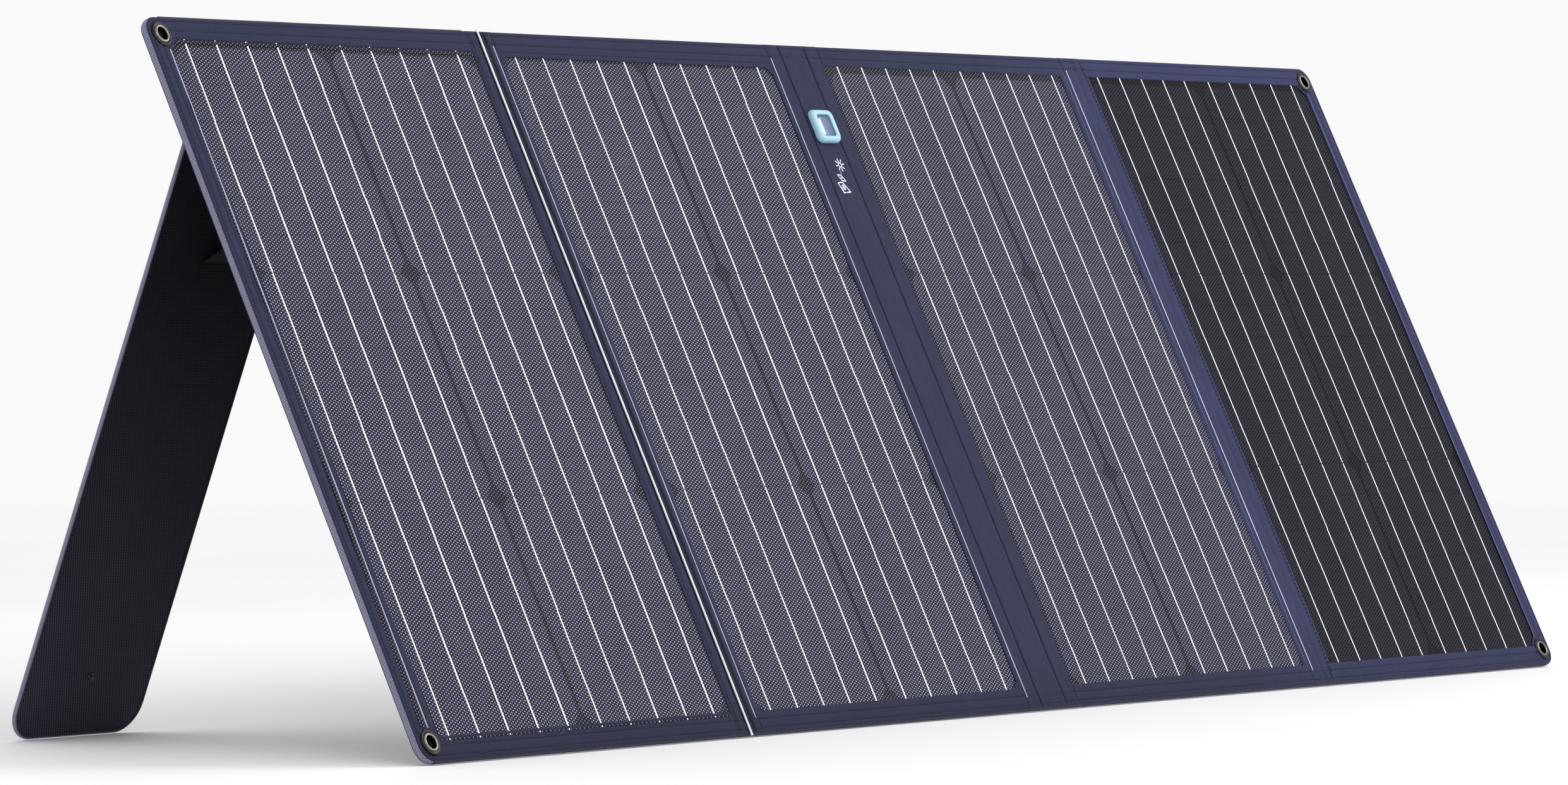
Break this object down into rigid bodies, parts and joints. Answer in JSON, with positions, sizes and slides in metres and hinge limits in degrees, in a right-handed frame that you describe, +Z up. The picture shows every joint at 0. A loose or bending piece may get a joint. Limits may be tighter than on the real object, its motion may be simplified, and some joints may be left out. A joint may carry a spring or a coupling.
{
  "type": "folding solar panel",
  "caption": "Four-fold cloth solar panel with framed textured laminates, rubber sun sight, corner eyelets, zip pocket, carrying handles and fold-out kickstands.",
  "frame": {"origin": "on the ground, in the middle of the footprint, between the lower front edge and the feet of the kickstands", "axes": "+Z up, +X along the unfolded width, the cells look towards -Y and up, leaning back 26 degrees from upright"},
  "size_m": [1.446, 0.3824, 0.4753],
  "materials": {
    "clear_sheet": "clear fluoropolymer sheet pressed with a fine weave",
    "silicon": "dark monocrystalline silicon",
    "ribbon": "tinned copper ribbon",
    "board": "moulded black sheet",
    "navy_cloth": "coated polyester cloth, dark navy",
    "black_cloth": "coated polyester cloth, black with a blue cast",
    "white_cord": "white piping cord",
    "bright_metal": "polished",
    "dark_metal": "black nickel",
    "sight_rubber": "soft pale blue",
    "sight_plate": "blue grey",
    "white_print": "printed ink",
    "black_webbing": "woven nylon webbing",
    "zip": "nylon coil and tape",
    "box_plastic": "moulded",
    "cable_rubber": "rubber sheathed"
  },
  "bodies": {
    "panel_2": {"front_sheet_2": "clear_sheet", "cell_strips_2": "silicon", "cell_ribbons_2": "ribbon", "backing_board_2": "board", "fold_bands_2": "navy_cloth", "edge_binding_2": "navy_cloth", "back_cover_2": "black_cloth", "fold_piping": "white_cord", "pocket": "black_cloth", "pocket_zip": "zip", "junction_box": "box_plastic", "output_cable": "cable_rubber", "handle_tabs_left": "black_webbing"},
    "panel_1": {"front_sheet_1": "clear_sheet", "cell_strips_1": "silicon", "cell_ribbons_1": "ribbon", "backing_board_1": "board", "fold_bands_1": "navy_cloth", "edge_binding_1": "navy_cloth", "back_cover_1": "black_cloth", "eyelets_left": "bright_metal", "eyelet_washers_left": "dark_metal", "leg_hinge_strip_left": "black_webbing", "snap_socket_left": "bright_metal"},
    "spine": {"spine_band": "navy_cloth", "spine_back": "black_cloth", "sight_frame": "sight_rubber", "sight_plate": "sight_plate", "sight_symbol": "white_print"},
    "panel_3": {"front_sheet_3": "clear_sheet", "cell_strips_3": "silicon", "cell_ribbons_3": "ribbon", "backing_board_3": "board", "fold_bands_3": "navy_cloth", "edge_binding_3": "navy_cloth", "back_cover_3": "black_cloth", "handle_tabs_right": "black_webbing"},
    "panel_4": {"front_sheet_4": "clear_sheet", "cell_strips_4": "silicon", "cell_ribbons_4": "ribbon", "backing_board_4": "board", "fold_bands_4": "navy_cloth", "edge_binding_4": "navy_cloth", "back_cover_4": "black_cloth", "eyelets_right": "bright_metal", "eyelet_washers_right": "dark_metal", "leg_hinge_strip_right": "black_webbing", "snap_socket_right": "bright_metal"},
    "leg_left": {"leg_board_left": "board", "leg_cover_left": "black_cloth", "snap_stud_left": "bright_metal"},
    "leg_right": {"leg_board_right": "board", "leg_cover_right": "black_cloth", "snap_stud_right": "bright_metal"},
    "stay_left": {"leg_stay_left": "black_webbing"},
    "stay_right": {"leg_stay_right": "black_webbing"},
    "handle_left": {"carry_handle_left": "black_webbing"},
    "handle_right": {"carry_handle_right": "black_webbing"},
    "slider": {"zip_slider": "dark_metal"},
    "pull": {"zip_pull": "zip"}
  },
  "joints": [
    {"name": "outer_fold_left", "type": "hinge", "parent": "panel_2", "child": "panel_1", "pos_m": [-0.3725, -0.07584, 0.23922], "axis": [0, 0.4384, 0.8988], "range_deg": [0, 180]},
    {"name": "spine_fold", "type": "hinge", "parent": "panel_2", "child": "spine", "pos_m": [-0.016, -0.07449, 0.23856], "axis": [0, -0.4384, -0.8988], "range_deg": [0, 90]},
    {"name": "centre_fold", "type": "hinge", "parent": "spine", "child": "panel_3", "pos_m": [0.016, -0.07449, 0.23856], "axis": [0, -0.4384, -0.8988], "range_deg": [0, 90]},
    {"name": "outer_fold_right", "type": "hinge", "parent": "panel_3", "child": "panel_4", "pos_m": [0.3725, -0.07584, 0.23922], "axis": [0, -0.4384, -0.8988], "range_deg": [0, 180]},
    {"name": "leg_swing_left", "type": "hinge", "parent": "panel_1", "child": "leg_left", "pos_m": [-0.621, 0.02411, 0.42134], "axis": [-1, 0, 0], "range_deg": [0, 47.3]},
    {"name": "stay_swing_left", "type": "hinge", "parent": "panel_1", "child": "stay_left", "pos_m": [-0.621, -0.00945, 0.35537], "axis": [-1, 0, 0], "range_deg": [0, 88]},
    {"name": "leg_swing_right", "type": "hinge", "parent": "panel_4", "child": "leg_right", "pos_m": [0.621, 0.02411, 0.42134], "axis": [-1, 0, 0], "range_deg": [0, 47.3]},
    {"name": "stay_swing_right", "type": "hinge", "parent": "panel_4", "child": "stay_right", "pos_m": [0.621, -0.00945, 0.35537], "axis": [-1, 0, 0], "range_deg": [0, 88]},
    {"name": "handle_swing_left", "type": "hinge", "parent": "panel_2", "child": "handle_left", "pos_m": [-0.362, -0.06604, 0.23444], "axis": [0, 0.4384, 0.8988], "range_deg": [0, 180]},
    {"name": "handle_swing_right", "type": "hinge", "parent": "panel_3", "child": "handle_right", "pos_m": [0.362, -0.06604, 0.23444], "axis": [0, -0.4384, -0.8988], "range_deg": [0, 180]},
    {"name": "zip_slide", "type": "slide", "parent": "panel_2", "child": "slider", "axis": [1, 0, 0], "range_m": [0, 0.255]},
    {"name": "zip_pull_swing", "type": "hinge", "parent": "slider", "child": "pull", "pos_m": [-0.318, -0.1019, 0.12899], "axis": [0, -0.4384, -0.8988], "range_deg": [0, 180]}
  ],
  "couplings": [
    {"joint": "centre_fold", "follows": "spine_fold", "ratio": 1},
    {"joint": "stay_swing_left", "follows": "leg_swing_left", "ratio": 1.8605},
    {"joint": "stay_swing_right", "follows": "leg_swing_right", "ratio": 1.8605}
  ]
}
